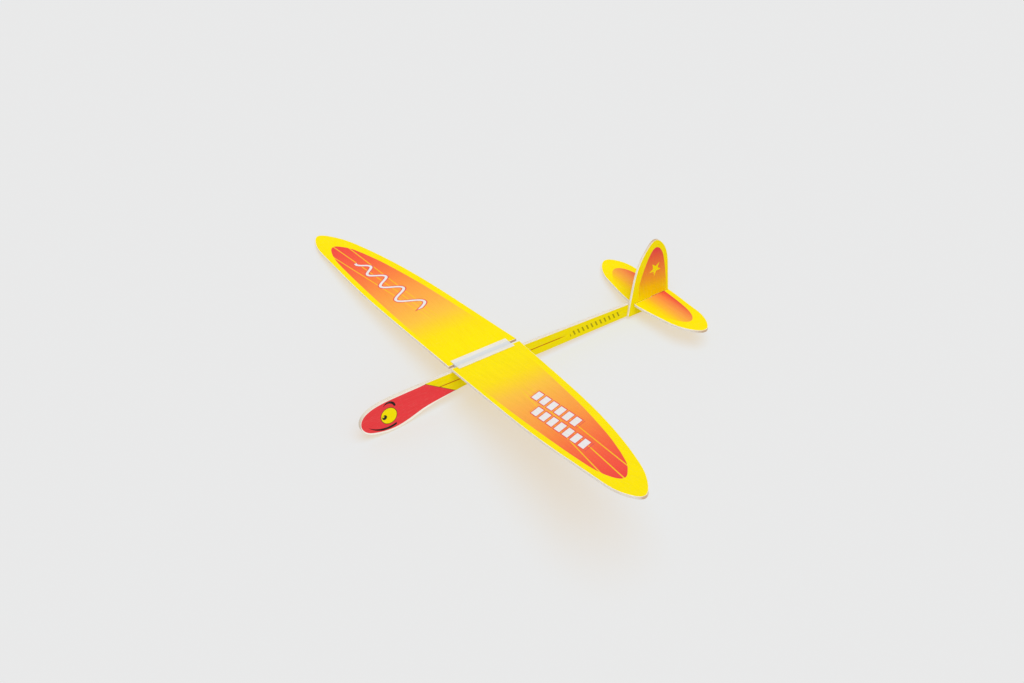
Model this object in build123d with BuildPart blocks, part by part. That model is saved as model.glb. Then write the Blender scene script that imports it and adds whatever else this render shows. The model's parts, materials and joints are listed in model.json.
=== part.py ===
"""A small hand-launched free-flight glider of die-cut, printed balsa sheet.

A flat fuselage stands on edge.  A moulded plastic holder straddles its top edge and takes one
wing half in a channel on each side, so that the pair slides fore and aft for trim.  The fin is
glued to the port face of the boom.  The tailplane is pushed on from behind: a slit in its front
half passes the fin, and a slit in the fin's rear half passes the tailplane.

Millimetres.  The glider lies as it rests on the ground: rolled to starboard on its belly, the
rear end of its boom and the tip of its starboard wing.  +X is port, +Y is aft and +Z is up.  The
origin is on the ground, under the middle of the overall length and width.

It is drawn level, in (x, station, height), and each plane is then carried into the resting
stance.  Station is measured aft from the wing's leading edge at the root, and height up from the
top of the wing on the centre line.
"""

import os
from math import atan2, cos, degrees, radians, sin, tan

from build123d import *

# Overall sizes
nose_length = 69.8  # root leading edge forward to the tip of the nose
tail_length = 177.2  # root leading edge aft to the fin's trailing edge
belly_depth = 27.0  # top of the wing down to the lowest point of the head

# Sheet thicknesses and clearances
fuselage_thickness = 3.0
wing_thickness = 2.0
tailplane_thickness = 2.0
fin_thickness = 2.0
slide_clearance = 0.06  # each side of a sheet in a plastic channel
slit_clearance = 0.10  # each side of a sheet in a balsa slit

# Wing
panel_length = 210.0  # centre line to tip, along the panel
root_chord = 52.9
dihedral = 4.5  # each side, in degrees
root_gap = 3.8  # between the root faces of the two halves
wing_tip_share = 0.091  # station of the tip, as a share of the root chord

# Wing holder
holder_start = 3.8  # station of its front end
holder_length = 42.8
holder_width = 12.0
holder_wall = 0.6
cheek_wall = 0.8
cheek_depth = 5.0
holder_travel_aft = 6.0  # room left for it to slide on the wing seat

# Fuselage
boom_bottom = -16.4
boom_top_front = -4.7  # just behind the wing seat
boom_top_rear = -7.4  # where the tailplane's seat begins
seat_ramp = 3.5  # length of the slope behind the wing seat
boom_end_radius = 5.0
boom_end_gap = 2.4  # boom's rear end, ahead of the fin's trailing edge

# Tailplane
tailplane_station = 146.0  # its leading edge at the centre
tailplane_chord = 30.6
tailplane_half_span = 58.6
tailplane_roll = 3.5  # port side down, in degrees, as it settles in its slits
slit_share = 0.5  # how much of the chord the tailplane's own slit takes

# Fin
fin_top = 34.9
fin_lead = 3.2  # fin's leading edge ahead of the tailplane's, at its height
fin_foot_station = 140.4  # front corner on the boom's bottom edge
fin_foot_lead = 1.1  # fin's trailing edge at the foot, ahead of its rearmost point
fin_corner_radius = 4.0

# Nose weight: a steel disc let into the starboard face of the head
weight_diameter = 16.0
weight_thickness = 2.0
weight_station = -56.6
weight_height = -15.3
weight_clearance = 0.05

# Places worked out from the sizes above
slope = radians(dihedral)
roll = radians(tailplane_roll)
head_front = -nose_length
boom_end = tail_length - boom_end_gap
fin_rear_foot = tail_length - fin_foot_lead
half_fuselage = fuselage_thickness / 2
fin_middle_x = half_fuselage + fin_thickness / 2
holder_floor = -(wing_thickness + slide_clearance + holder_wall) / cos(slope)
wing_seat = holder_floor - slide_clearance
wing_seat_end = holder_start + holder_length + holder_travel_aft
tailplane_end = tailplane_station + tailplane_chord
slit_end = tailplane_station + slit_share * tailplane_chord
tailplane_top = boom_top_rear
tailplane_sag = fin_thickness / 2 * tan(roll) + tailplane_thickness * (1 / cos(roll) - 1)
slit_top = tailplane_top + tailplane_sag + slit_clearance
slit_bottom = tailplane_top - tailplane_thickness - tailplane_sag - slit_clearance

# The resting stance: pitched until the belly and the boom's end are level, then rolled until the
# starboard wing tip comes down to them
belly_station = head_front + 24.4
boom_foot_station = boom_end - boom_end_radius
rest_pitch = atan2(belly_depth + boom_bottom, boom_foot_station - belly_station)
pitched = Location((0, 0, 0), (-degrees(rest_pitch), 0, 0))
belly = pitched * Location((-half_fuselage, belly_station, -belly_depth))
wing_tip = pitched * Location(
    (
        -panel_length * cos(slope) - wing_thickness * sin(slope),
        wing_tip_share * root_chord,
        panel_length * sin(slope) - wing_thickness * cos(slope),
    )
)
tip_rise = wing_tip.position.Z - belly.position.Z
rest_roll = atan2(tip_rise, belly.position.X - wing_tip.position.X)
turned = Location((0, 0, 0), (0, -degrees(rest_roll), 0))
stance = (
    Location(
        (
            (panel_length * sin(slope) - wing_thickness) * sin(rest_roll),
            (nose_length - tail_length) / 2 * cos(rest_pitch),
            -(turned * belly).position.Z,
        )
    )
    * turned
    * pitched
)


def settled(plane):
    """A plane of the level glider, carried into the resting stance."""
    return Plane(stance * plane.location)


side_view = settled(Plane((0, 0, 0), x_dir=(0, 1, 0), z_dir=(1, 0, 0)))
port_face = side_view.offset(half_fuselage)
starboard_face = side_view.offset(-half_fuselage)
port_panel = settled(
    Plane((0, 0, 0), x_dir=(cos(slope), 0, sin(slope)), z_dir=(-sin(slope), 0, cos(slope)))
)
tailplane_plane = settled(
    Plane(
        (fin_middle_x, 0, tailplane_top),
        x_dir=(cos(roll), 0, -sin(roll)),
        z_dir=(sin(roll), 0, cos(roll)),
    )
)
holder_rear = settled(
    Plane((0, holder_start + holder_length, 0), x_dir=(1, 0, 0), z_dir=(0, -1, 0))
)

os.makedirs("parts", exist_ok=True)


# The fuselage: head and boom cut from one sheet.  The head's outline is one smooth curve.
head_curve = [
    (-19.0, wing_seat),
    (-44.0, -3.1),
    (head_front + 10.3, -4.9),
    (head_front + 2.0, -9.6),
    (head_front, -15.0),
    (head_front + 3.0, -21.6),
    (head_front + 11.0, 1.6 - belly_depth),
    (head_front + 23.3, -belly_depth),
    (-34.4, 1.9 - belly_depth),
    (-21.0, -21.2),
    (-1.0, boom_bottom - 1.4),
    (14.0, boom_bottom),
]
tailplane_step = tailplane_station - 3 * slit_clearance

with BuildPart() as fuselage:
    with BuildSketch(side_view):
        with BuildLine():
            Spline(*head_curve, tangents=((-1, 0), (1, 0)))
            FilletPolyline(
                head_curve[-1],
                (boom_end, boom_bottom),
                (boom_end, slit_bottom),
                (tailplane_step, slit_bottom),
                radius=(boom_end_radius, 1.0),
            )
            Polyline(
                (tailplane_step, slit_bottom),
                (tailplane_step, boom_top_rear),
                (wing_seat_end + seat_ramp, boom_top_front),
                (wing_seat_end, wing_seat),
                head_curve[0],
            )
        make_face()
    extrude(amount=half_fuselage, both=True)
    with BuildSketch(starboard_face):
        with Locations((weight_station, weight_height)):
            Circle(weight_diameter / 2 + weight_clearance)
    extrude(amount=weight_thickness, mode=Mode.SUBTRACT)
fuselage.part.label = "fuselage"
export_step(fuselage.part, "parts/fuselage.step")


# The nose weight fills its pocket, flush with the starboard face.
with BuildPart() as nose_weight:
    with BuildSketch(starboard_face):
        with Locations((weight_station, weight_height)):
            Circle(weight_diameter / 2)
    extrude(amount=weight_thickness)
nose_weight.part.label = "nose_weight"
export_step(nose_weight.part, "parts/nose_weight.step")


# The fin: its foot lies flat on the boom, and a slit from behind takes the tailplane.
fin_base = tailplane_station - fin_lead
fin_rise = fin_top - tailplane_top

with BuildPart() as fin:
    with BuildSketch(port_face):
        with BuildLine():
            Line((fin_foot_station, boom_bottom), (fin_base, tailplane_top))
            Spline(
                (fin_base, tailplane_top),
                (fin_base + 7.7, tailplane_top + 0.53 * fin_rise),
                (fin_base + 17.8, tailplane_top + 0.885 * fin_rise),
                (fin_base + 25.6, fin_top),
                (tail_length - 2.9, tailplane_top + 0.885 * fin_rise),
                (tail_length, tailplane_top + 0.47 * fin_rise),
                (fin_rear_foot, tailplane_top),
                tangents=((0.36, 1), (-0.05, -1)),
            )
            FilletPolyline(
                (fin_rear_foot, tailplane_top),
                (fin_rear_foot, boom_bottom),
                (fin_foot_station, boom_bottom),
                radius=fin_corner_radius,
            )
        make_face()
    extrude(amount=fin_thickness)
    with BuildSketch(port_face):
        with BuildLine():
            Polyline(
                (slit_end - slit_clearance, slit_bottom),
                (tail_length + 1, slit_bottom),
                (tail_length + 1, slit_top),
                (slit_end - slit_clearance, slit_top),
                close=True,
            )
        make_face()
    extrude(amount=fin_thickness, mode=Mode.SUBTRACT)
fin.part.label = "fin"
export_step(fin.part, "parts/fin.step")


# The tailplane: one elliptical sheet, its middle over the boom and fin together.
tailplane_middle = fin_thickness / 2 - (fuselage_thickness + fin_thickness) / 2
fin_slit_width = fin_thickness + 2 * (slit_clearance + tailplane_thickness * tan(roll))


def tailplane_point(span_share, chord_share):
    """A point of the outline on the starboard side, or the port side for a negative share."""
    return (
        tailplane_middle - span_share * tailplane_half_span,
        tailplane_station + chord_share * tailplane_chord,
    )


leading = [(0.0, 0.0), (0.51, 0.118), (0.853, 0.314), (1.0, 0.625)]
trailing = [(0.853, 0.862), (0.51, 0.963), (0.0, 1.0)]
starboard_edge = [tailplane_point(*share) for share in leading + trailing]
port_edge = [tailplane_point(-across, along) for across, along in leading + trailing]

with BuildPart() as tailplane:
    with BuildSketch(tailplane_plane):
        with BuildLine():
            Spline(*starboard_edge, tangents=((-1, 0), (1, 0)))
            Spline(*port_edge, tangents=((1, 0), (-1, 0)))
        make_face()
    extrude(amount=-tailplane_thickness)
    with BuildSketch(tailplane_plane):
        with Locations((0, tailplane_station - 1)):
            Rectangle(fin_slit_width, slit_end - tailplane_station + 1, align=(Align.CENTER, Align.MIN))
    extrude(amount=-tailplane_thickness, mode=Mode.SUBTRACT)
tailplane.part.label = "tailplane"
export_step(tailplane.part, "parts/tailplane.step")


# The wing halves: the starboard one is the mirror image of the port one.
wing_edge = [
    (0.286, -0.057),
    (0.595, -0.096),
    (0.857, -0.076),
    (0.957, -0.023),
    (1.0, wing_tip_share),
    (0.957, 0.268),
    (0.857, 0.439),
    (0.667, 0.633),
    (0.381, 0.820),
]
wing_curve = [(along * panel_length, chord * root_chord) for along, chord in wing_edge]

with BuildPart() as wing_port:
    with BuildSketch(port_panel):
        with BuildLine():
            Spline((root_gap / 2, 0), *wing_curve, (root_gap / 2, root_chord))
            Line((root_gap / 2, root_chord), (root_gap / 2, 0))
        make_face()
    extrude(amount=-wing_thickness)
wing_port.part.label = "wing_port"
export_step(wing_port.part, "parts/wing_port.step")

with BuildPart() as wing_starboard:
    mirror(wing_port.part, about=side_view)
wing_starboard.part.label = "wing_starboard"
export_step(wing_starboard.part, "parts/wing_starboard.step")


# The wing holder: one section, the same from end to end.
def across(along_panel, above_panel):
    """A point of the holder's section, from its place along and above the port panel."""
    return (
        along_panel * cos(slope) - above_panel * sin(slope),
        along_panel * sin(slope) + above_panel * cos(slope),
    )


flange_length = holder_width / 2 / cos(slope)
channel_top = slide_clearance
channel_bottom = -wing_thickness - slide_clearance
flange_top = channel_top + holder_wall
flange_bottom = channel_bottom - holder_wall
web_half = root_gap / 2 - slide_clearance
cheek_inside = half_fuselage + slide_clearance
cheek_outside = cheek_inside + cheek_wall

with BuildPart() as wing_holder:
    with BuildSketch(holder_rear):
        for inner, outer in ((channel_top, flange_top), (channel_bottom, flange_bottom)):
            with BuildLine():
                Polyline(
                    across(0, inner),
                    across(flange_length, inner),
                    across(flange_length, outer),
                    across(0, outer),
                    close=True,
                )
            make_face()
        with BuildLine():
            Polyline(
                (0, holder_floor),
                (web_half, holder_floor),
                (web_half, across(web_half, channel_top)[1]),
                (0, across(0, channel_top)[1]),
                close=True,
            )
        make_face()
        with BuildLine():
            Polyline(
                (cheek_inside, holder_floor - cheek_depth),
                (cheek_outside, holder_floor - cheek_depth),
                (cheek_outside, channel_bottom),
                (cheek_inside, channel_bottom),
                close=True,
            )
        make_face()
        mirror(about=Plane.YZ)
    extrude(amount=holder_length)
wing_holder.part.label = "wing_holder"
export_step(wing_holder.part, "parts/wing_holder.step")
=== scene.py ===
"""The looks of a small hand-launched glider of die-cut, printed balsa sheet, built around its CAD frame."""

import json
from math import cos, pi, radians, sin, sqrt

import bpy
import numpy as np
from mathutils import Matrix, Vector
from mathutils.geometry import delaunay_2d_cdt


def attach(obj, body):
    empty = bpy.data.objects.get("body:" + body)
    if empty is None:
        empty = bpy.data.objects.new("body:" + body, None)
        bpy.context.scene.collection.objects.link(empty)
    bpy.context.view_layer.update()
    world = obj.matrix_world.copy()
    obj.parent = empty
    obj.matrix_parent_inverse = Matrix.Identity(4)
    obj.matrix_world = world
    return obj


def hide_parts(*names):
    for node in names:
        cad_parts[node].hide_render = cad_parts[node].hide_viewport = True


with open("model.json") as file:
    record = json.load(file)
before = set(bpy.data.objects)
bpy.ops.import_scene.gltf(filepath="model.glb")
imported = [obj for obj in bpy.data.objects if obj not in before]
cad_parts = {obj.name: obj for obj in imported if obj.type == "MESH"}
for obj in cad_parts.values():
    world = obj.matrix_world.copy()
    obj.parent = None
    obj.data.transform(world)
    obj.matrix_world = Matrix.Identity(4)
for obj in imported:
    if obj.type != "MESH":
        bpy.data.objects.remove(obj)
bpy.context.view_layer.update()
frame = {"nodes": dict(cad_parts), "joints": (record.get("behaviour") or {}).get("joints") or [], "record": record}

MM = 0.001


# ---------------------------------------------------------------------------------------------------
# FUSELAGE
# Head and boom are die-cut in one from 3 mm balsa that was printed on both faces first.  The cutter
# leaves the edge bare, and the print of the head stops a little short of it.
# ---------------------------------------------------------------------------------------------------

# The glider lies rolled on its belly, boom and starboard wing tip.  Its parts are drawn level, in
# (x to port, station aft of the wing's root leading edge, height over the wing's top), in millimetres.
NOSE_LENGTH = 69.8
BELLY_DEPTH = 27.0
aft = Vector([j["axis"] for j in frame["joints"] if j["name"] == "wing_trim_slide"][0]).normalized()
up = -Vector([m["axis"] for m in frame["record"]["mounts"] if m["name"] == "boom_underside"][0])
port = aft.cross(up).normalized()
up = port.cross(aft)


def reach(node, direction):
    """How far a CAD piece reaches along a direction, least and most."""
    along = [v.co.dot(direction) for v in frame["nodes"][node].data.vertices]
    return min(along), max(along)


level_zero = (
    port * sum(reach("fuselage", port)) / 2
    + aft * (reach("fuselage", aft)[0] + NOSE_LENGTH * MM)
    + up * (reach("fuselage", up)[0] + BELLY_DEPTH * MM)
)


def settled(x, station, height):
    """Where a point of the level glider lies now that it rests on the ground."""
    return level_zero + (port * x + aft * station + up * height) * MM


def level(points):
    """Points of the resting glider as (x, station, height) of the level one."""
    axes = np.array([port, aft, up]).T
    return (np.asarray(points) - np.array(level_zero)) @ axes / MM


SAME_WAY = 0.98  # least cosine between a flat face's normal and the direction asked for
SAME_PLANE = 0.05  # faces of one plane lie no further apart than this, in millimetres


def flat_face(node, toward):
    """The outermost flat face of a CAD piece toward a direction: its normal and its outlines."""
    mesh = frame["nodes"][node].data
    faces = [p for p in mesh.polygons if p.normal.dot(toward) > SAME_WAY]
    normal = sum((p.normal * p.area for p in faces), Vector()).normalized()
    outermost = max(p.center.dot(normal) for p in faces)
    sides = {}
    for p in faces:
        if p.center.dot(normal) > outermost - SAME_PLANE * MM:
            corners = [tuple(round(c, 7) for c in mesh.vertices[i].co) for i in p.vertices]
            for a, b in zip(corners, corners[1:] + corners[:1]):
                if sides.pop((b, a), None) is None:
                    sides[a, b] = True
    following = dict(sides.keys())
    loops = []
    while following:
        start = next(iter(following))
        loop = [start]
        while (point := following.pop(loop[-1])) != start:
            loop.append(point)
        loops.append(np.array(loop))
    loops.sort(key=len, reverse=True)
    return normal, loops


SHARP_TURN = radians(25)
CORNER_ROOM = 0.6  # no other point of an outline is nearer to a corner, so that the rim fits
CORNER_POINTS = 5  # on each rounded corner
CORNER_SHARE = 0.45  # the most of its shorter side that a rounded corner takes
RIM_ROOM = 1.2  # how much wider than the rim needs a corner is rounded
SHORTEST_SIDE = 0.1  # points nearer to the next one than this are left out


def turns_of(loop):
    """The angle by which a closed outline turns at each point, and its sides before and after."""
    before, after = np.roll(loop, 1, 0) - loop, np.roll(loop, -1, 0) - loop
    lengths = np.linalg.norm(before, axis=1), np.linalg.norm(after, axis=1)
    straightness = -(before * after).sum(1) / lengths[0] / lengths[1]
    return np.arccos(np.clip(straightness, -1, 1)), before, after, lengths


def eased(loop, radius, spacing, rim):
    """A flat closed outline with its sharp corners rounded and its long sides divided."""
    loop = loop[np.linalg.norm(np.roll(loop, -1, 0) - loop, axis=1) > SHORTEST_SIDE * MM]
    sharp = turns_of(loop)[0] > SHARP_TURN
    near_corner = [any(0 < np.linalg.norm(c - p) < CORNER_ROOM * MM for c in loop[sharp]) for p in loop]
    loop = loop[sharp | ~np.array(near_corner)]
    rounded = []
    turns, before_all, after_all, lengths = turns_of(loop)
    corners = zip(loop, turns, before_all, after_all, *lengths)
    for p, turn, before, after, first_length, last_length in corners:
        if turn < SHARP_TURN:
            rounded.append(p)
            continue
        back = max(radius, RIM_ROOM * rim * sin(turn / 2) / cos(turn / 2) ** 2)
        back = min(back, CORNER_SHARE * min(first_length, last_length))
        first, last = p + before / first_length * back, p + after / last_length * back
        for t in np.linspace(0, 1, CORNER_POINTS):
            rounded.append((1 - t) ** 2 * first + 2 * t * (1 - t) * p + t * t * last)
    rounded = np.array(rounded)
    divided = []
    for a, b in zip(rounded, np.roll(rounded, -1, 0)):
        parts = max(1, int(np.ceil(np.linalg.norm(b - a) / spacing)))
        divided += [a + (b - a) * i / parts for i in range(parts)]
    return np.array(divided)


LEAST_OPENING = 0.35  # keeps the step inward short where an outline turns back sharply


def inward(loop):
    """At each point of a flat outline, the step towards its inside that moves both sides by 1."""
    sides = np.roll(loop, -1, 0) - loop
    across = np.c_[-sides[:, 1], sides[:, 0]] / np.linalg.norm(sides, axis=1)[:, None]
    before = np.roll(across, 1, 0)
    both = 1 + (across * before).sum(1)
    return (across + before) / np.maximum(both, LEAST_OPENING)[:, None]


def gap_to(points, loop):
    """The distance of points from a closed outline, more than 0 inside it."""
    a, b = loop, np.roll(loop, -1, 0)
    side = b - a
    found = []
    for p in points:
        t = np.clip(((p - a) * side).sum(1) / np.maximum((side * side).sum(1), 1e-18), 0, 1)
        distance = np.sqrt(((a + side * t[:, None] - p) ** 2).sum(1).min())
        crossing = (a[:, 1] > p[1]) != (b[:, 1] > p[1])
        rise = np.where(side[:, 1] == 0, 1, side[:, 1])
        left = p[0] < a[:, 0] + (p[1] - a[:, 1]) / rise * side[:, 0]
        found.append(distance if (crossing & left).sum() % 2 else -distance)
    return np.array(found)


INSIDE_WITH_HOLES = 2  # the triangulation keeps what is inside the outline and outside its holes
MEETING = 1e-5  # points this near each other, in millimetres, are one point to it
CLEAR_OF_RIM = 0.45  # shares of the spacing by which inside points keep clear
CLEAR_OF_HOLE = 0.3


class Sheet:
    """A flat piece of even thickness, built from the outline of its CAD solid.

    The rim of each face is rounded over.  Material slots are the near face, the far face and the
    edge.  Every point knows its place on the level glider, in millimetres.
    """

    def __init__(self, name, node, toward, spacing=1.6, rim=0.22, corner=0.35, rim_steps=3):
        self.name, self.node = name, node
        self.normal, loops = flat_face(node, toward)
        self.thickness = reach(node, self.normal)[1] - reach(node, self.normal)[0]
        run = aft if abs(aft.dot(self.normal)) < 0.9 else up
        self.across = run.cross(self.normal).normalized()
        self.run = self.normal.cross(self.across)
        self.face = self.normal * reach(node, self.normal)[1]
        self.spacing, self.rim = spacing * MM, rim * MM
        self.outline = eased(self.flat(loops[0]), corner * MM, self.spacing, self.rim)
        self.points, self.faces, self.slots, self.rounded = [], [], [], []
        turns = [i / rim_steps * pi / 2 for i in range(rim_steps + 1)]
        profile = [(self.rim * (1 - sin(a)), self.rim * (1 - cos(a))) for a in turns]
        profile += [(inset, self.thickness - depth) for inset, depth in reversed(profile)]
        step = inward(self.outline)
        rings = [self.add(self.outline + step * inset, depth) for inset, depth in profile]
        count = len(self.outline)
        for upper, lower in zip(rings, rings[1:]):
            for i in range(count):
                j = (i + 1) % count
                self.add_face((upper[i], lower[i], lower[j], upper[j]), 2, True)
        self.first_ring, self.last_ring = rings[0], rings[-1]
        self.inside = self.scatter()

    def outline_points(self):
        """The outline as points in space."""
        return [self.face + self.across * u + self.run * v for u, v in self.outline]

    def flat(self, points):
        return np.c_[np.asarray(points) @ self.across, np.asarray(points) @ self.run]

    def add(self, flat_points, depth):
        """Adds points that lie on the sheet, a depth below its near face."""
        start = len(self.points)
        for u, v in flat_points:
            self.points.append(self.face + self.across * u + self.run * v - self.normal * depth)
        return list(range(start, len(self.points)))

    def add_face(self, corners, slot, rounded):
        self.faces.append(corners)
        self.slots.append(slot)
        self.rounded.append(rounded)

    def scatter(self):
        """Points in even rows over the inside of the outline."""
        low, high = self.outline.min(0), self.outline.max(0)
        rows = np.arange(low[1], high[1], self.spacing * sqrt(3) / 2)
        grid = [
            (u + (n % 2) * self.spacing / 2, v)
            for n, v in enumerate(rows)
            for u in np.arange(low[0], high[0], self.spacing)
        ]
        grid = np.array(grid)
        return grid[gap_to(grid, self.outline) > self.rim + CLEAR_OF_RIM * self.spacing]

    def cap(self, ring, depth, slot, holes=()):
        """Closes one face, leaving out any holes, which are given as outlines with their points."""
        inside = self.inside
        for outline, _ in holes:
            inside = inside[gap_to(inside, outline) < -CLEAR_OF_HOLE * self.spacing]
        index = list(ring)
        borders = [list(range(len(ring)))]
        for _, hole_ring in holes:
            borders.append(list(range(len(index), len(index) + len(hole_ring))))
            index += hole_ring
        index += self.add(inside, depth)
        flat_points = self.flat([self.points[i] for i in index]) / MM
        sides = [(b[i], b[(i + 1) % len(b)]) for b in borders for i in range(len(b))]
        vectors = [Vector(p) for p in flat_points]
        joined = delaunay_2d_cdt(vectors, sides, [], INSIDE_WITH_HOLES, MEETING)
        origin = {i: index[sources[0]] for i, sources in enumerate(joined[3]) if sources}
        for i, corner in enumerate(joined[0]):
            if i not in origin:  # a point that the triangulation added where two sides cross
                origin[i] = self.add([np.array(corner) * MM], depth)[0]
        for face in joined[2]:
            found = [origin[i] for i in face]
            if not any(set(found) <= set(hole_ring) for _, hole_ring in holes):
                self.add_face(found if depth == 0 else found[::-1], slot, False)

    def build(self, body, material_slot, materials, **marks):
        """Makes the object; marks are numbers for each point, such as a distance to a print's edge."""
        mesh = bpy.data.meshes.new(self.name)
        mesh.from_pydata([tuple(p) for p in self.points], [], [tuple(f) for f in self.faces])
        mesh.polygons.foreach_set("material_index", self.slots)
        mesh.polygons.foreach_set("use_smooth", self.rounded)
        for material in materials:
            mesh.materials.append(material)
        place = mesh.attributes.new("place", "FLOAT_VECTOR", "POINT")
        place.data.foreach_set("vector", level(self.points).astype(np.float32).ravel())
        for mark, values in marks.items():
            attribute = mesh.attributes.new(mark, "FLOAT", "POINT")
            attribute.data.foreach_set("value", np.asarray(values, np.float32))
        mesh.update()
        piece = bpy.data.objects.new(self.name, mesh)
        bpy.context.scene.collection.objects.link(piece)
        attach(piece, body)
        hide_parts(self.node)
        return piece


class Value:
    """A number, vector or colour that changes over a surface; arithmetic adds Math nodes."""

    def __init__(self, finish, socket):
        self.finish, self.socket = finish, socket

    def maths(self, operation, *others):
        sockets = dict(enumerate(others))
        return self.finish.node("ShaderNodeMath", {"operation": operation}, sockets)

    def __add__(self, other):
        return self.maths("ADD", self, other)

    def __sub__(self, other):
        return self.maths("SUBTRACT", self, other)

    def __mul__(self, other):
        return self.maths("MULTIPLY", self, other)

    def __truediv__(self, other):
        return self.maths("DIVIDE", self, other)

    def __rsub__(self, other):
        return self.maths("SUBTRACT", other, self)

    def __abs__(self):
        return self.maths("ABSOLUTE", self)

    __radd__, __rmul__ = __add__, __mul__

    def wave(self):
        return self.maths("SINE", self)

    def least(self, other):
        return self.maths("MINIMUM", self, other)

    def most(self, other):
        return self.maths("MAXIMUM", self, other)

    def root(self):
        return self.maths("SQRT", self)

    def over(self, edge, soft):
        """0 below an edge and 1 above it, with a soft step between."""
        ends = {"Value": self, "From Min": edge - soft / 2, "From Max": edge + soft / 2}
        return self.finish.node("ShaderNodeMapRange", {}, ends)

    def under(self, edge, soft):
        return 1 - self.over(edge, soft)


class Finish:
    """A material; its shader's constants are given by name, and what varies is fed in after."""

    def __init__(self, name, **constants):
        self.material = bpy.data.materials.new(name)
        self.material.use_nodes = True
        self.tree = self.material.node_tree
        self.shader = self.tree.nodes["Principled BSDF"]
        for socket, value in constants.items():
            self.shader.inputs[socket.replace("_", " ")].default_value = value

    def node(self, kind, settings=None, sockets=None, output=0):
        """Any node: its type, its settings, and the values or links of its sockets."""
        made = self.tree.nodes.new(kind)
        for setting, value in (settings or {}).items():
            if setting == "stops":
                for i, (position, colour) in enumerate(value):
                    ramp = made.color_ramp.elements
                    stop = ramp.new(position) if i > 1 else ramp[i]
                    stop.position, stop.color = position, colour
            else:
                setattr(made, setting, value)
        for socket, value in (sockets or {}).items():
            if isinstance(value, Value):
                self.tree.links.new(value.socket, made.inputs[socket])
            else:
                made.inputs[socket].default_value = value
        return Value(self, made.outputs[output])

    def mark(self, name, output=2):
        return self.node("ShaderNodeAttribute", {"attribute_name": name}, output=output)

    def place(self):
        """The x, station and height of each point, in millimetres."""
        vector = self.mark("place", 1)
        return [self.node("ShaderNodeSeparateXYZ", {}, {0: vector}, i) for i in range(3)]

    def stretched(self, scale):
        """The place multiplied by a vector, so that a noise runs along the grain."""
        sockets = {0: self.mark("place", 1), 1: scale}
        return self.node("ShaderNodeVectorMath", {"operation": "MULTIPLY"}, sockets)

    def noise(self, scale, detail=3.0, roughness=0.55):
        sockets = {"Vector": self.stretched(scale), "Scale": 1.0, "Detail": detail}
        return self.node("ShaderNodeTexNoise", {}, sockets | {"Roughness": roughness})

    def mix(self, share, first, second):
        sockets = {0: share, 6: first, 7: second}
        return self.node("ShaderNodeMix", {"data_type": "RGBA"}, sockets, 2)

    def shade(self, colour, share, tint):
        """A colour multiplied by a tint, where the share is 1."""
        sockets = {0: share, 6: colour, 7: tint}
        return self.node("ShaderNodeMix", {"data_type": "RGBA", "blend_type": "MULTIPLY"}, sockets, 2)

    def feed(self, socket, value):
        self.tree.links.new(value.socket, self.shader.inputs[socket])

    def relief(self, height, depth):
        """A bump whose height runs from 0 to 1 over a depth in millimetres."""
        sockets = {"Strength": 1.0, "Distance": depth * MM, "Height": height}
        self.feed("Normal", self.node("ShaderNodeBump", {}, sockets))


def ink(red, green, blue):
    """A colour from its screen values, as the linear colour that a shader takes."""
    screen = [c / 255 for c in (red, green, blue)]
    return [c / 12.92 if c < 0.04045 else ((c + 0.055) / 1.055) ** 2.4 for c in screen] + [1.0]


def along_grain(grain, along, across):
    """A scale that is fine across the grain and coarse along it; grain is 0, 1 or 2 for x, y or z."""
    return [along if axis == grain else across for axis in range(3)]


BALSA = ink(254, 249, 241)
BALSA_SHADED = ink(229, 222, 210)
BALSA_DARK = ink(236, 222, 200)
END_GRAIN = ink(200, 164, 124)


def balsa_relief(finish, grain, depth):
    """The grain of balsa: broad low ridges, fine fibres and short open pores."""
    ridges = finish.noise(along_grain(grain, 0.02, 0.9))
    fibres = finish.noise(along_grain(grain, 0.12, 5.0))
    pores = finish.noise(along_grain(grain, 0.22, 7.5), 1.0).over(0.66, 0.08)
    finish.relief(0.5 * ridges + 0.35 * fibres - 0.45 * pores, depth)
    return ridges, fibres, pores


def bare_balsa(name, grain, axis, singed=0.85, pale=BALSA):
    """Unprinted balsa: cream along the grain, and browner where the cutter crossed the grain."""
    finish = Finish(name, Roughness=0.82)
    ridges, fibres, pores = balsa_relief(finish, grain, 0.10)
    normal = finish.node("ShaderNodeNewGeometry", {}, {}, 1)
    turn = {"vector_type": "NORMAL", "convert_from": "WORLD", "convert_to": "OBJECT"}
    local = finish.node("ShaderNodeVectorTransform", turn, {0: normal})
    dot = {"operation": "DOT_PRODUCT"}
    facing = abs(finish.node("ShaderNodeVectorMath", dot, {0: local, 1: axis}, 1))
    colour = finish.mix(0.8 * ridges.over(0.55, 0.5), pale, BALSA_DARK)
    colour = finish.mix(0.30 * fibres.over(0.56, 0.25), colour, BALSA_DARK)
    colour = finish.mix(0.55 * pores, colour, END_GRAIN)
    colour = finish.mix(singed * facing.over(0.72, 0.4), colour, END_GRAIN)
    finish.feed("Base Color", colour)
    return finish.material


def printed(name, grain):
    """A finish for ink on balsa: satin, with the grain showing through."""
    finish = Finish(name, Roughness=0.55, Specular_IOR_Level=0.03)
    finish.grain = balsa_relief(finish, grain, 0.045)
    return finish


def dried(finish, colour):
    """The ink's own unevenness: lighter on the ridges of the grain, broken over the pores."""
    ridges, fibres, pores = finish.grain
    colour = finish.shade(colour, 0.55 * ridges.over(0.55, 0.45), ink(243, 241, 226))
    colour = finish.shade(colour, 0.5 * fibres.over(0.62, 0.2), ink(240, 236, 222))
    colour = finish.mix(0.10 * pores, colour, BALSA_DARK)
    worn = finish.mark("rim") + 0.3 * fibres
    colour = finish.mix(0.7 * worn.under(0.26, 0.12), colour, BALSA)
    finish.feed("Base Color", colour)
    finish.feed("Roughness", 0.44 + 0.16 * ridges)
    return finish.material


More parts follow.
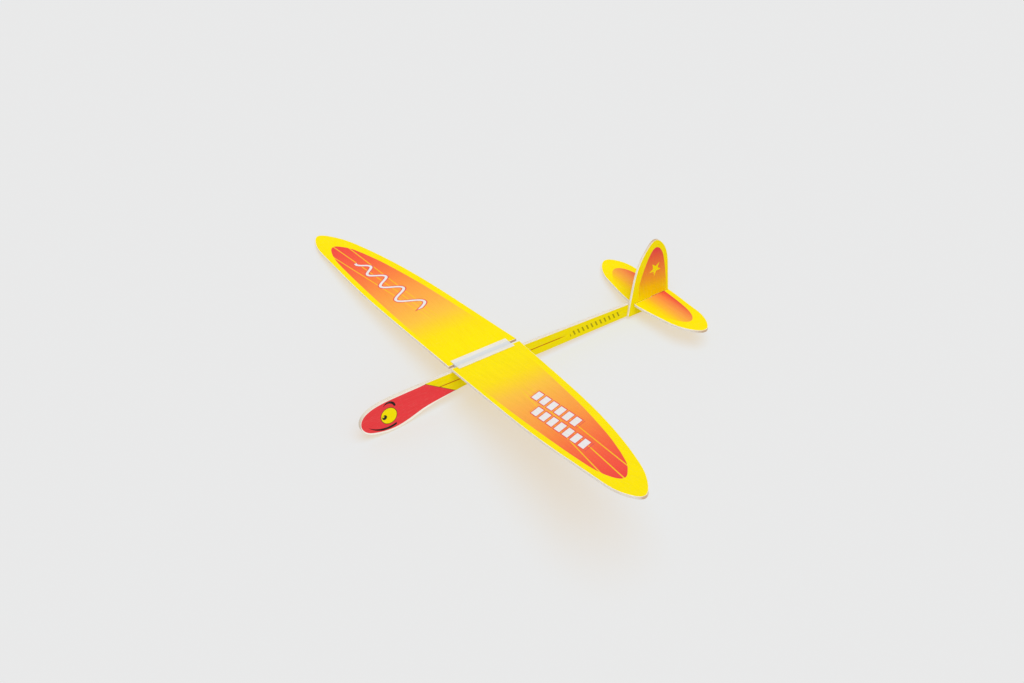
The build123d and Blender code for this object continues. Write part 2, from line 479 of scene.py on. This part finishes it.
YELLOW = ink(255, 232, 0)
BOOM_YELLOW = ink(247, 226, 2)
RED = ink(239, 66, 71)
BLACK = ink(38, 36, 34)
EYE = (-49.1, -15.0)
EYE_RADIUS = 5.6
PUPIL = (-52.3, -15.1)
PUPIL_RADIUS = 1.75
PRINT_MARGIN = 1.25  # bare rim around the red of the head, which closes towards the boom
PRINT_SHIFT = (-0.7, 0.45)  # how far forward and up the print lies from the die-cut outline
SLANT_TOP = (-20.6, -3.0)  # the slanted end of the red, from the top edge down to the lower edge
SLANT_FOOT = (3.0, -18.5)
GLINT_STEP = 0.75  # forward and up from the pupil's centre
GLINT_RADIUS = 0.62
EYE_LINE = 0.42  # width of the dark line round the eye
BROW = ((-52.2, -7.3), ((-47.0, -4.8), (-43.2, -9.8)), ((-47.6, -6.2), (-44.5, -9.6)))
BROW_FOOT = -9.5
SMILE = ((-64.8, -17.7), ((-53.5, -24.2), (-44.2, -23.2)), ((-54.0, -22.6), (-44.6, -21.9)))
SMILE_END = -44.6
LINE_FROM = (-9.0, -9.7)  # where the boom's fine line begins
LINE_SLOPE = -0.0155
LINE_END = 87.0
TICKS_START, TICKS_END, TICKS_HEIGHT = 93.0, 136.0, -11.6


def circle_through(a, b, c):
    """The centre and radius of the circle through three points."""
    rows = np.array([[b[0] - a[0], b[1] - a[1]], [c[0] - a[0], c[1] - a[1]]])
    squares = [p[0] ** 2 + p[1] ** 2 - a[0] ** 2 - a[1] ** 2 for p in (b, c)]
    centre = np.linalg.solve(2 * rows, np.array(squares))
    return centre, float(np.hypot(*(centre - np.array(a))))


def disc(station, height, centre, radius, soft=0.15):
    """1 inside a circle on the side of the fuselage."""
    dx, dz = station - float(centre[0]), height - float(centre[1])
    return (dx * dx + dz * dz).root().under(radius, soft)


def stroke(station, height, tip, outer, inner):
    """A brush stroke that widens from its pointed tip: inside one circle and outside another."""
    outside = disc(station, height, *circle_through(tip, *outer))
    return outside * (1 - disc(station, height, *circle_through(tip, *inner)))


def fuselage_print(name, face):
    """The red head, with an eye, brow and smile on one side, and the yellow boom with its line."""
    finish = printed(name, 1)
    _, station, height = finish.place()
    down_slant = (SLANT_FOOT[0] - SLANT_TOP[0]) / (SLANT_FOOT[1] - SLANT_TOP[1])
    past_slant = station - (SLANT_TOP[0] + down_slant * (height - SLANT_TOP[1]))
    colour = finish.mix(past_slant.under(0.0, 0.2), BOOM_YELLOW, RED)
    line_height = LINE_FROM[1] + LINE_SLOPE * (station - LINE_FROM[0])
    line = abs(height - line_height).under(0.34, 0.25)
    line = line * past_slant.over(0, 0.2) * station.under(LINE_END, 6.0)
    colour = finish.mix(0.9 * line, colour, ink(190, 80, 14))
    colour = finish.mix(0.8 * abs(past_slant).under(0.42, 0.25), colour, ink(132, 84, 50))
    ticks = abs((0.85 * (station + 0.35 * height)).wave()).under(0.5, 0.2)
    row = abs(height - TICKS_HEIGHT).under(1.8, 0.2)
    row = row * station.over(TICKS_START, 0.3) * station.under(TICKS_END, 0.3)
    colour = finish.mix(0.62 * ticks * row, colour, ink(92, 84, 20))
    if face:
        iris = disc(station, height, EYE, EYE_RADIUS)
        colour = finish.mix(disc(station, height, EYE, EYE_RADIUS + EYE_LINE), colour, ink(96, 66, 22))
        colour = finish.mix(iris, colour, ink(252, 231, 2))
        colour = finish.mix(disc(station, height, PUPIL, PUPIL_RADIUS), colour, BLACK)
        glint = (PUPIL[0] - GLINT_STEP, PUPIL[1] + GLINT_STEP)
        colour = finish.mix(disc(station, height, glint, GLINT_RADIUS), colour, ink(252, 231, 2))
        brow = stroke(station, height, *BROW) * height.over(BROW_FOOT, 0.3)
        smile = stroke(station, height, *SMILE) * station.under(SMILE_END, 0.3)
        colour = finish.mix(brow.most(smile), colour, BLACK)
    margin = finish.mark("print") - PRINT_MARGIN * station.under(-13.0, 26.0)
    bare = margin.under(0.0, 0.25) * past_slant.under(0.0, 0.3)
    colour = finish.mix(bare, colour, BALSA)
    return dried(finish, colour)


POCKET_DEPTH = 2.0

fuselage = Sheet("fuselage_sheet", "fuselage", port, 1.3)
fuselage.cap(fuselage.first_ring, 0, 0)
_, starboard_loops = flat_face("fuselage", -port)
pocket = fuselage.flat(starboard_loops[1])
pocket_rings = [
    fuselage.add(pocket, fuselage.thickness),
    fuselage.add(pocket, fuselage.thickness - POCKET_DEPTH * MM),
]
fuselage.cap(fuselage.last_ring, fuselage.thickness, 1, [(pocket, pocket_rings[0])])
top, bottom = pocket_rings
for i in range(len(pocket)):
    j = (i + 1) % len(pocket)
    fuselage.add_face((top[j], top[i], bottom[i], bottom[j]), 2, True)
fuselage.add_face(bottom[::-1], 2, False)


def rim_distance(sheet):
    return gap_to(sheet.flat(sheet.points), sheet.outline) / MM


fuselage.build(
    "airframe",
    "fuselage_sheet",
    [
        fuselage_print("fuselage_port_print", True),
        fuselage_print("fuselage_starboard_print", False),
        bare_balsa("fuselage_edge", 1, aft, 0.25, BALSA_SHADED),
    ],
    rim=rim_distance(fuselage),
    print=gap_to(level(fuselage.points)[:, 1:] - PRINT_SHIFT, level(fuselage.outline_points())[:, 1:]),
)


# ---------------------------------------------------------------------------------------------------
# NOSE WEIGHT
# A plain steel disc, punched from 2 mm strip and pressed into its pocket in the starboard face of
# the head.  It brings the balance point forward to a third of the wing's chord.
# ---------------------------------------------------------------------------------------------------

steel = Finish("punched_steel", Metallic=1.0)
weight = Sheet("nose_weight_disc", "nose_weight", -port, 1.2, rim=0.18)
weight.cap(weight.first_ring, 0, 0)
weight.cap(weight.last_ring, weight.thickness, 1)
scuffs = steel.noise((0.5, 1.6, 9.0), 5.0, 0.7)
blotches = steel.noise((0.4, 0.4, 0.4), 3.0)
steel.feed("Base Color", steel.mix(blotches.over(0.5, 0.5), ink(150, 152, 155), ink(182, 184, 188)))
steel.feed("Roughness", 0.28 + 0.25 * scuffs)
steel.relief(scuffs, 0.02)
weight.build("airframe", "weight_steel", [steel.material] * 3)


# ---------------------------------------------------------------------------------------------------
# FIN
# Die-cut from 2 mm printed balsa and glued flat to the port face of the boom, down to its lower
# edge.  Its grain runs up the fin, and a slit from behind takes the tailplane.
# ---------------------------------------------------------------------------------------------------


def spline(points, parts=12):
    """A smooth open curve through points."""
    points = np.array(points, float)
    ends = np.vstack([2 * points[0] - points[1], points, 2 * points[-1] - points[-2]])
    curve = []
    for a, b, c, d in zip(ends, ends[1:], ends[2:], ends[3:]):
        for t in np.arange(parts) / parts:
            square, cube = 2 * a - 5 * b + 4 * c - d, 3 * b - a - 3 * c + d
            curve.append(0.5 * (2 * b + (c - a) * t + square * t ** 2 + cube * t ** 3))
    curve.append(points[-1])
    return np.array(curve)


FIN_PANEL = [  # (station, height) around the tinted panel, from the front of its foot
    (149.6, -10), (150.4, -3), (151.5, 4), (154.2, 10.6), (157.1, 16.2), (159.7, 20.8), (162.9, 25.5),
    (165.6, 28.3), (168.2, 29.2), (170.7, 28.0), (172.3, 25.6), (173.5, 22.0), (174.2, 15.5),
    (174.5, 6), (174.5, -10),
]


STAR_AT = (166.0, 13.0)
STAR_RADIUS = 5.2
STAR_LEAN = 0.25
STAR_SIDE = 0.309  # a five-pointed star's sides pass this share of its radius from its middle


def star(across, rise, radius, soft=0.2):
    """1 inside a five-pointed star about the origin of two values."""
    inside = None
    for point in range(5):
        angle = 2 * pi * point / 5 + pi / 2
        side = across * cos(angle + pi) + rise * sin(angle + pi)
        near = side.under(radius * STAR_SIDE, soft)
        inside = near if inside is None else inside + near
    return inside.over(3.5, 0.5)


def fin_print(name):
    finish = printed(name, 2)
    _, station, height = finish.place()
    tint = [
        (0.0, ink(247, 226, 2)), (0.12, ink(244, 211, 0)), (0.26, ink(243, 195, 6)),
        (0.40, ink(241, 165, 38)), (0.6, ink(239, 134, 54)), (0.8, ink(236, 108, 60)),
        (0.92, ink(233, 90, 64)), (1.0, ink(230, 74, 72)),
    ]
    share = (height + 9.0 + 0.12 * (station - 160.0)) / 37.0
    panel = finish.node("ShaderNodeValToRGB", {"stops": tint}, {0: share})
    colour = finish.mix(finish.mark("panel").over(0.0, 0.3), ink(247, 227, 2), panel)
    rise = height - STAR_AT[1]
    badge = star(station - STAR_AT[0] - STAR_LEAN * rise, rise, STAR_RADIUS)
    colour = finish.mix(badge, colour, ink(248, 222, 2))
    return dried(finish, colour)


def panel_distance(sheet, panel, places):
    """How far inside a printed panel each point lies, in millimetres."""
    return gap_to(places(level(sheet.points)), panel)


fin = Sheet("fin_sheet", "fin", port, 1.2)
fin.cap(fin.first_ring, 0, 0)
fin.cap(fin.last_ring, fin.thickness, 1)
fin_side = fin_print("fin_print")
fin.build(
    "airframe",
    "fin_sheet",
    [fin_side, fin_side, bare_balsa("fin_edge", 2, up)],
    rim=rim_distance(fin),
    panel=panel_distance(fin, spline(FIN_PANEL), lambda p: p[:, 1:]),
)


# ---------------------------------------------------------------------------------------------------
# TAILPLANE
# One elliptical sheet of 2 mm balsa, printed on top and bare below, with its grain across the span.
# It is pushed on from behind: its slit passes the fin, and the fin's slit passes it.
# ---------------------------------------------------------------------------------------------------

TAIL_PANEL = [  # (distance from the middle, station) around the tinted panel of the port half
    (0, 146.2), (14, 147.6), (26, 150.4), (35, 155.0), (40.5, 158.2), (43.4, 161.2), (44, 164.0),
    (42.2, 166.6), (37.5, 169.2), (30, 171.0), (18, 172.2), (0, 173.0),
]


TAIL_MIDDLE = 1.0  # the printed panels' middle, which lies beside the fuselage's


def tailplane_print(name):
    finish = printed(name, 0)
    x, station, _ = finish.place()
    outboard = abs(x - TAIL_MIDDLE)
    tint = [
        (0.0, ink(254, 230, 0)), (0.16, ink(254, 222, 6)), (0.30, ink(254, 204, 30)),
        (0.42, ink(253, 184, 54)), (0.60, ink(249, 162, 70)), (0.78, ink(245, 135, 72)),
        (0.92, ink(239, 101, 68)), (1.0, ink(232, 78, 72)),
    ]
    share = (station - 149.0 - 0.02 * outboard) / 23.0
    panel = finish.node("ShaderNodeValToRGB", {"stops": tint}, {0: share})
    colour = finish.mix(finish.mark("panel").over(0.0, 0.3), YELLOW, panel)
    return dried(finish, colour)


tailplane = Sheet("tailplane_sheet", "tailplane", up, 1.4)
tailplane.cap(tailplane.first_ring, 0, 0)
tailplane.cap(tailplane.last_ring, tailplane.thickness, 1)
half = spline(TAIL_PANEL)
mirrored = half[::-1] * (-1, 1)
tailplane.build(
    "tail",
    "tailplane_sheet",
    [
        tailplane_print("tailplane_print"),
        bare_balsa("tailplane_under", 0, port),
        bare_balsa("tailplane_edge", 0, port),
    ],
    rim=rim_distance(tailplane),
    panel=panel_distance(tailplane, np.vstack([half, mirrored]), lambda p: p[:, :2] - (TAIL_MIDDLE, 0)),
)


# ---------------------------------------------------------------------------------------------------
# WING HALVES
# Two mirrored halves of 2 mm balsa, printed on top and bare below, with the grain along the span.
# Each is pushed into a channel of the plastic holder, and the two root ends nearly meet there.
# ---------------------------------------------------------------------------------------------------

PANEL_LENGTH = 210.0
DIHEDRAL = radians(4.5)
WING_PANEL = [  # (distance along the half, station) around the tinted panel
    (-30, 2.6), (10, 1.7), (37, 0.8), (70, -0.2), (95, -0.7), (125, -0.9), (150, -0.7),
    (165, -0.2), (174.5, 0.9), (181.5, 2.7), (186.0, 4.7), (187.8, 6.9), (187.4, 9.2),
    (184.0, 12.4), (177.5, 16.7), (169, 19.9),
    (161.7, 22.2), (145, 26.7), (120, 31.9), (95, 36.3), (53, 42.2), (37, 44.3), (10, 47.4), (-30, 50),
]
WING_TINT = [  # the panel's colour by the distance along the half
    (20, YELLOW), (38, ink(255, 226, 14)), (50, ink(254, 212, 44)), (62, ink(254, 197, 68)),
    (80, ink(253, 178, 74)), (105, ink(253, 158, 70)), (122, ink(252, 138, 68)), (140, ink(250, 116, 68)),
    (158, ink(248, 97, 68)), (186, ink(243, 74, 68)),
]
PINSTRIPES = [  # where each line starts inboard and where it reaches the panel's end
    ((58, 18.6), (171, 1.2)), ((58, 21.4), (187, 7.4)), ((58, 24.2), (178.5, 16.0)),
]


BLOCK_ROWS = [(86.0, 147.0, 11.4), (70.0, 122.0, 21.8)]  # start, end and middle station
RIBBON_START, RIBBON_END = 74.0, 156.0
OUTLINE_WIDTH = 0.75  # of the red line round the white figures


def blocks(finish, along, station, start, end, middle):
    """A row of slanted blocks: how far inside the nearest block each point lies."""
    pitch, block, tall, slant = 8.6, 5.9, 7.4, 0.35
    slid = along + slant * (station - middle)
    cell = finish.node("ShaderNodeMath", {"operation": "PINGPONG"}, {0: slid - start, 1: pitch / 2})
    beside = block / 2 - (pitch / 2 - cell)
    above = tall / 2 - abs(station - middle)
    row = (slid - start).least(end - slid)
    return beside.least(above).least(row)


def ribbon(along, station, start, end):
    """A waving line that grows calmer towards the tip: how far inside it each point lies."""
    share = (along - start) / (end - start)
    height = 8.0 - 5.0 * share
    turn = 0.22 * (along - start) + 0.0009 * (along - start) * (along - start)
    lean = 18.6 - 0.075 * (along - start)
    rise = height * turn.wave()
    slope = height * (turn + pi / 2).wave() * (0.22 + 0.0018 * (along - start))
    off = abs(station - lean - rise) / (1 + slope * slope).root()
    return (0.95 - off).least(along - start).least(end - along)


def wing_print(name, side):
    finish = printed(name, 0)
    x, station, _ = finish.place()
    along = abs(x) / cos(DIHEDRAL)
    stops = [(distance / PANEL_LENGTH, colour) for distance, colour in WING_TINT]
    panel = finish.node("ShaderNodeValToRGB", {"stops": stops}, {0: along / PANEL_LENGTH})
    for (start, near), (end, far) in PINSTRIPES:
        slope = (far - near) / (end - start)
        off = abs(station - (near + slope * (along - start)))
        width = 0.20 + 0.16 * along.over(130, 110)
        line = (off - width).under(0.0, 0.22) * along.over(start + 3, 18)
        panel = finish.mix(0.9 * line, panel, ink(250, 214, 30))
    edge = finish.mark("panel")
    colour = finish.mix(edge.over(0.0, 0.3), YELLOW, panel)
    if side > 0:
        front, rear = [blocks(finish, along, station, *row) for row in BLOCK_ROWS]
        figure = front.most(rear)
    else:
        figure = ribbon(along, station, RIBBON_START, RIBBON_END)
    colour = finish.mix(figure.over(-OUTLINE_WIDTH, 0.25), colour, ink(232, 92, 84))
    colour = finish.mix(figure.over(0.0, 0.25), colour, ink(236, 234, 236))
    return dried(finish, colour)


for side, name, body in ((1, "port", "port_wing"), (-1, "starboard", "starboard_wing")):
    wing = Sheet(f"wing_{name}_sheet", f"wing_{name}", up, 1.7)
    wing.cap(wing.first_ring, 0, 0)
    wing.cap(wing.last_ring, wing.thickness, 1)
    grain_run = port * cos(DIHEDRAL) + up * sin(DIHEDRAL) * side
    wing.build(
        body,
        "wing_sheet",
        [
            wing_print(f"wing_{name}_print", side),
            bare_balsa(f"wing_{name}_under", 0, grain_run),
            bare_balsa(f"wing_{name}_edge", 0, grain_run),
        ],
        rim=rim_distance(wing),
        panel=panel_distance(
            wing, spline(WING_PANEL), lambda p: np.c_[abs(p[:, 0]) / cos(DIHEDRAL), p[:, 1]]
        ),
    )


# ---------------------------------------------------------------------------------------------------
# WING HOLDER
# Moulded in natural, slightly clouded plastic.  It grips the fuselage's top edge between two cheeks
# and slides along it; each wing half sits in a channel between two thin flanges.
# ---------------------------------------------------------------------------------------------------

plastic = Finish("natural_plastic", Roughness=0.34, IOR=1.5)
x, _, _ = plastic.place()
cloud = plastic.noise((0.35, 0.12, 0.35), 4.0)
middle = abs(x).under(2.2, 0.8)
tone = plastic.mix(cloud.over(0.5, 0.5), ink(243, 238, 222), ink(248, 244, 234))
# Painted shade: the middle band over the fuselage's top edge is tinted bluish grey for the shade in the channel
# between the wing roots.
tone = plastic.mix(0.75 * middle, tone, ink(207, 213, 218))
flow = plastic.noise((3.0, 0.08, 3.0), 4.0)
plastic.feed("Base Color", tone)
plastic.feed("Roughness", 0.28 + 0.2 * flow)
plastic.feed("Alpha", 0.86 + 0.12 * middle)
plastic.relief(flow, 0.03)
holder = Sheet("wing_holder_moulding", "wing_holder", aft, 0.9, rim=0.16, corner=0.22)
holder.cap(holder.first_ring, 0, 0)
holder.cap(holder.last_ring, holder.thickness, 1)
holder.build("holder", "holder_plastic", [plastic.material] * 3)


# ---------------------------------------------------------------------------------------------------
# FLOOR, LIGHTS AND CAMERA
# A plain pale sheet of card that glows faintly, one very wide soft light high on the port side, and
# an even light from all round.  The camera looks down over the port bow.
# ---------------------------------------------------------------------------------------------------

CARD_LIT = (0.094, 0.272, 0.473, 1.0)  # what it gives back of the light
CARD_GLOW = (0.715, 0.525, 0.310, 1.0)  # what is left of its colour in a shadow
FLOOR_HALF = 60.0  # half of its side, in metres
card = Finish("pale_card", Roughness=0.9, Specular_IOR_Level=0.0, Emission_Strength=1.0)
card.shader.inputs["Base Color"].default_value = CARD_LIT
card.shader.inputs["Emission Color"].default_value = CARD_GLOW
floor_mesh = bpy.data.meshes.new("floor")
corners = [(-1, -1), (1, -1), (1, 1), (-1, 1)]
floor_mesh.from_pydata([(a * FLOOR_HALF, b * FLOOR_HALF, 0) for a, b in corners], [], [(0, 1, 2, 3)])
floor_mesh.materials.append(card.material)
floor = bpy.data.objects.new("floor", floor_mesh)
bpy.context.scene.collection.objects.link(floor)

EVEN_LIGHT = 0.62
world = bpy.data.worlds.new("studio")
bpy.context.scene.world = world
world.use_nodes = True
background = world.node_tree.nodes["Background"]
background.inputs["Color"].default_value = (1.0, 1.0, 1.0, 1.0)
background.inputs["Strength"].default_value = EVEN_LIGHT

KEY_TOWARD = Vector((0.30, 0.02, 0.95))
KEY_WIDTH = radians(48)
key_data = bpy.data.lights.new("key", "SUN")
key_data.angle = KEY_WIDTH
key_data.energy = 1.5
key = bpy.data.objects.new("key", key_data)
key.rotation_euler = KEY_TOWARD.to_track_quat("Z", "Y").to_euler()
bpy.context.scene.collection.objects.link(key)

camera_data = bpy.data.cameras.new("camera")
camera_data.sensor_width = 36.0
camera_data.lens = 50.37
camera = bpy.data.objects.new("camera", camera_data)
bpy.context.scene.collection.objects.link(camera)
lens_at = settled(725.5, -340.3, 496.7)
looks_at = settled(8.3, 43.8, 6.2)
LEAN = radians(-3.8)  # the camera's own roll
forward = (looks_at - lens_at).normalized()
sideways = forward.cross(Vector((0, 0, 1))).normalized()
raised = sideways.cross(forward)
sideways, raised = (
    sideways * cos(LEAN) + raised * sin(LEAN),
    raised * cos(LEAN) - sideways * sin(LEAN),
)
turned = Matrix((sideways, raised, -forward)).transposed().to_4x4()
camera.matrix_world = Matrix.Translation(lens_at) @ turned
bpy.context.scene.camera = camera
bpy.context.scene.view_settings.view_transform = "Standard"
